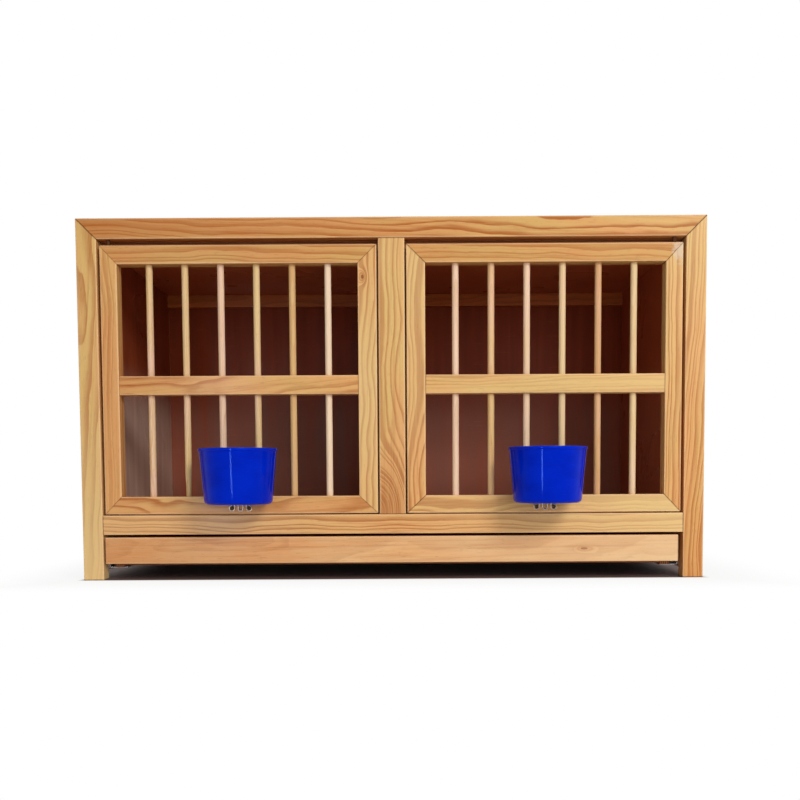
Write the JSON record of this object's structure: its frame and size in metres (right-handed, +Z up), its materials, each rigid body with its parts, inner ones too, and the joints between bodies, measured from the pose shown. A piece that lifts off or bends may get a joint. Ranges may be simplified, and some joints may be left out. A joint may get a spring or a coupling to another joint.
{
  "type": "pigeon breeding cage",
  "caption": "Varnished pine bird cage on short legs with paired barred doors, hanging plastic feeding cups, a middle partition, slatted floors and a pull-out droppings drawer.",
  "frame": {"origin": "on the floor at the middle of the object's box, cups included", "axes": "+X to the right seen from the front, +Y from the front to the back, +Z up"},
  "size_m": [0.8, 0.4862, 0.46],
  "materials": {
    "varnished_pine": "satin varnish over strong pine grain",
    "bar_wood": "satin varnish on turned bars",
    "brown_film_ply": "smooth dark red-brown film over plywood",
    "zinc_steel": "bright zinc",
    "dark_screw": "dark phosphate",
    "blue_plastic": "glossy moulded"
  },
  "bodies": {
    "cage": {"left_front_post": "varnished_pine", "right_front_post": "varnished_pine", "top_rail": "varnished_pine", "sill_rail": "varnished_pine", "mullion": "varnished_pine", "left_rear_post": "varnished_pine", "right_rear_post": "varnished_pine", "rear_top_rail": "varnished_pine", "rear_skirt": "varnished_pine", "left_top_side_rail": "varnished_pine", "right_top_side_rail": "varnished_pine", "left_skirt": "varnished_pine", "right_skirt": "varnished_pine", "left_side_panel": "brown_film_ply", "right_side_panel": "brown_film_ply", "back_panel": "brown_film_ply", "ceiling_panel": "brown_film_ply", "top_board": "varnished_pine", "partition": "brown_film_ply", "back_batten": "varnished_pine", "door_stop": "varnished_pine", "floor_bearers": "varnished_pine", "left_floor_slats": "varnished_pine", "right_floor_slats": "varnished_pine", "left_runner": "zinc_steel", "right_runner": "zinc_steel", "runner_screws": "zinc_steel", "glue_dowels": "varnished_pine", "panel_screws": "zinc_steel", "hinge_pins": "zinc_steel", "hinge_washers": "zinc_steel", "door_magnets": "zinc_steel"},
    "left_door": {"left_hinge_stile": "varnished_pine", "left_meeting_stile": "varnished_pine", "left_door_head": "varnished_pine", "left_door_foot": "varnished_pine", "left_mid_rail": "varnished_pine", "left_door_bars": "bar_wood", "left_keepers": "zinc_steel", "left_cup_bracket": "zinc_steel", "left_cup_screws": "dark_screw"},
    "right_door": {"right_hinge_stile": "varnished_pine", "right_meeting_stile": "varnished_pine", "right_door_head": "varnished_pine", "right_door_foot": "varnished_pine", "right_mid_rail": "varnished_pine", "right_door_bars": "bar_wood", "right_keepers": "zinc_steel", "right_cup_bracket": "zinc_steel", "right_cup_screws": "dark_screw"},
    "left_cup": {"left_cup": "blue_plastic"},
    "right_cup": {"right_cup": "blue_plastic"},
    "drawer": {"drawer_front": "varnished_pine", "drawer_left_side": "brown_film_ply", "drawer_right_side": "brown_film_ply", "drawer_back": "brown_film_ply", "drawer_bottom": "brown_film_ply"}
  },
  "joints": [
    {"name": "left_door_hinge", "type": "hinge", "parent": "cage", "child": "left_door", "pos_m": [-0.3602, -0.14985, 0.2555], "axis": [0, 0, -1], "range_deg": [0, 110]},
    {"name": "right_door_hinge", "type": "hinge", "parent": "cage", "child": "right_door", "pos_m": [0.3602, -0.14985, 0.2555], "axis": [0, 0, 1], "range_deg": [0, 110]},
    {"name": "drawer_slide", "type": "slide", "parent": "cage", "child": "drawer", "axis": [0, -1, 0], "range_m": [0, 0.32]},
    {"name": "left_cup_lift", "type": "slide", "parent": "left_door", "child": "left_cup", "axis": [0, 0, 1], "range_m": [0, 0.04]},
    {"name": "right_cup_lift", "type": "slide", "parent": "right_door", "child": "right_cup", "axis": [0, 0, 1], "range_m": [0, 0.04]}
  ]
}
